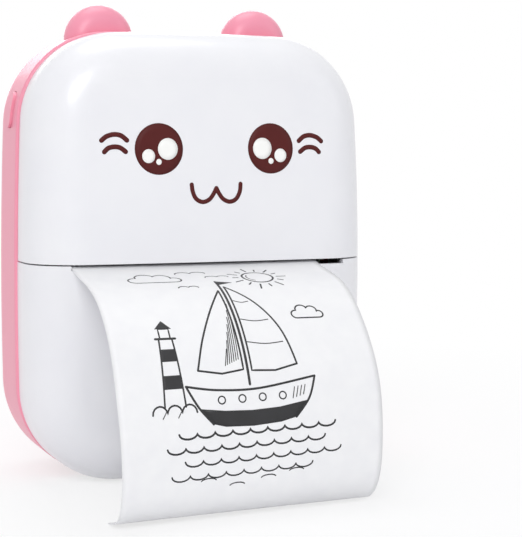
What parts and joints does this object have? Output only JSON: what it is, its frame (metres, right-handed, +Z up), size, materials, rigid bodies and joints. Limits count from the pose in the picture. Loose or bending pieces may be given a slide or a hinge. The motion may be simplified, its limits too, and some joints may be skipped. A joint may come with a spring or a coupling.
{
  "type": "portable thermal printer",
  "caption": "Pocket thermal printer with rounded two-tone casing, small ears, hinged paper cover, platen drive and a hanging strip of printed paper",
  "frame": {"origin": "middle of the flat base of the casing, midway in its width and depth", "axes": "+X to the viewer's right, +Y to the back, +Z up; paper comes out to -Y"},
  "size_m": [0.0808, 0.0769, 0.1062],
  "materials": {
    "pink_plastic": "smooth moulded ABS, light gloss",
    "white_plastic": "smooth moulded ABS, light gloss",
    "black_plastic": "moulded, fine matt",
    "grey_plastic": "moulded, fine matt",
    "steel": "plain turned or stamped steel",
    "dark_steel": "blackened screw",
    "aluminium": "extruded, bare",
    "ceramic": "glazed heater strip",
    "rubber": "ground silicone rubber",
    "white_gear": "acetal",
    "bronze": "sintered bronze",
    "paper": "smooth thermal paper",
    "card": "coloured paper core",
    "board": "solder mask over glass fibre",
    "chip": "moulded package",
    "foil": "wrapped pouch cell",
    "foam": "closed-cell foam",
    "clear_plastic": "frosted light pipe"
  },
  "bodies": {
    "casing": {"rear_shell": "pink_plastic", "front_shell": "white_plastic", "hinge_pin": "steel", "mechanism_frame": "black_plastic", "mechanism_screw_left": "dark_steel", "mechanism_screw_right": "dark_steel", "case_screw_lower_left": "dark_steel", "case_screw_lower_right": "dark_steel", "case_screw_upper_left": "dark_steel", "case_screw_upper_right": "dark_steel", "head_pin": "steel", "head_spring": "steel", "idler_axle": "steel", "motor_can": "steel", "paper_bay": "grey_plastic", "paper_web": "paper", "paper_tongue": "paper", "main_board": "board", "controller_chip": "chip", "driver_chip": "chip", "battery_socket": "white_gear", "usb_socket": "steel", "status_led": "clear_plastic", "light_pipe": "clear_plastic", "battery": "foil", "battery_foam": "foam", "key_switch": "black_plastic", "key_board": "board"},
    "cover": {"paper_cover": "white_plastic", "platen_carrier": "black_plastic", "carrier_screw_left": "dark_steel", "carrier_screw_right": "dark_steel", "tear_bar": "steel", "platen_bushing_left": "bronze", "platen_bushing_right": "bronze"},
    "platen": {"platen_shaft": "steel", "platen_sleeve": "rubber", "platen_gear": "white_gear"},
    "idler": {"idler_gear": "white_gear"},
    "rotor": {"motor_shaft": "steel", "motor_pinion": "bronze"},
    "roll": {"roll_core": "card", "paper_roll": "paper"},
    "head": {"head_heatsink": "aluminium", "head_ceramic": "ceramic"},
    "power_key": {"power_button": "pink_plastic", "key_plunger": "black_plastic"},
    "release_key": {"release_button": "pink_plastic"}
  },
  "joints": [
    {"name": "cover_hinge", "type": "hinge", "parent": "casing", "child": "cover", "pos_m": [0, 0.0002, 0.0986], "axis": [-1, 0, 0], "range_deg": [0, 75]},
    {"name": "motor_spin", "type": "hinge", "parent": "casing", "child": "rotor", "pos_m": [0, 0.00651, 0.04689], "axis": [1, 0, 0], "continuous": true},
    {"name": "idler_spin", "type": "hinge", "parent": "casing", "child": "idler", "pos_m": [0, -0.0025, 0.0532], "axis": [1, 0, 0], "continuous": true},
    {"name": "platen_spin", "type": "hinge", "parent": "cover", "child": "platen", "pos_m": [0, -0.0105, 0.0532], "axis": [1, 0, 0], "continuous": true},
    {"name": "roll_spin", "type": "hinge", "parent": "casing", "child": "roll", "pos_m": [0, -0.0005, 0.0765], "axis": [1, 0, 0], "continuous": true},
    {"name": "head_rock", "type": "hinge", "parent": "casing", "child": "head", "pos_m": [0, -0.0042, 0.0464], "axis": [-1, 0, 0], "range_deg": [0, 2], "stiffness_Nm_per_rad": 2, "springref_deg": -4.58},
    {"name": "power_press", "type": "slide", "parent": "casing", "child": "power_key", "axis": [1, 0, 0], "range_m": [0, 0.0005], "stiffness_N_per_m": 1500, "springref_m": -0.0006},
    {"name": "release_press", "type": "slide", "parent": "casing", "child": "release_key", "axis": [-1, 0, 0], "range_m": [0, 0.0012], "stiffness_N_per_m": 1200, "springref_m": -0.001}
  ],
  "couplings": [
    {"joint": "idler_spin", "follows": "motor_spin", "ratio": -0.375},
    {"joint": "platen_spin", "follows": "motor_spin", "ratio": 0.29167},
    {"joint": "roll_spin", "follows": "motor_spin", "ratio": -0.085256}
  ]
}
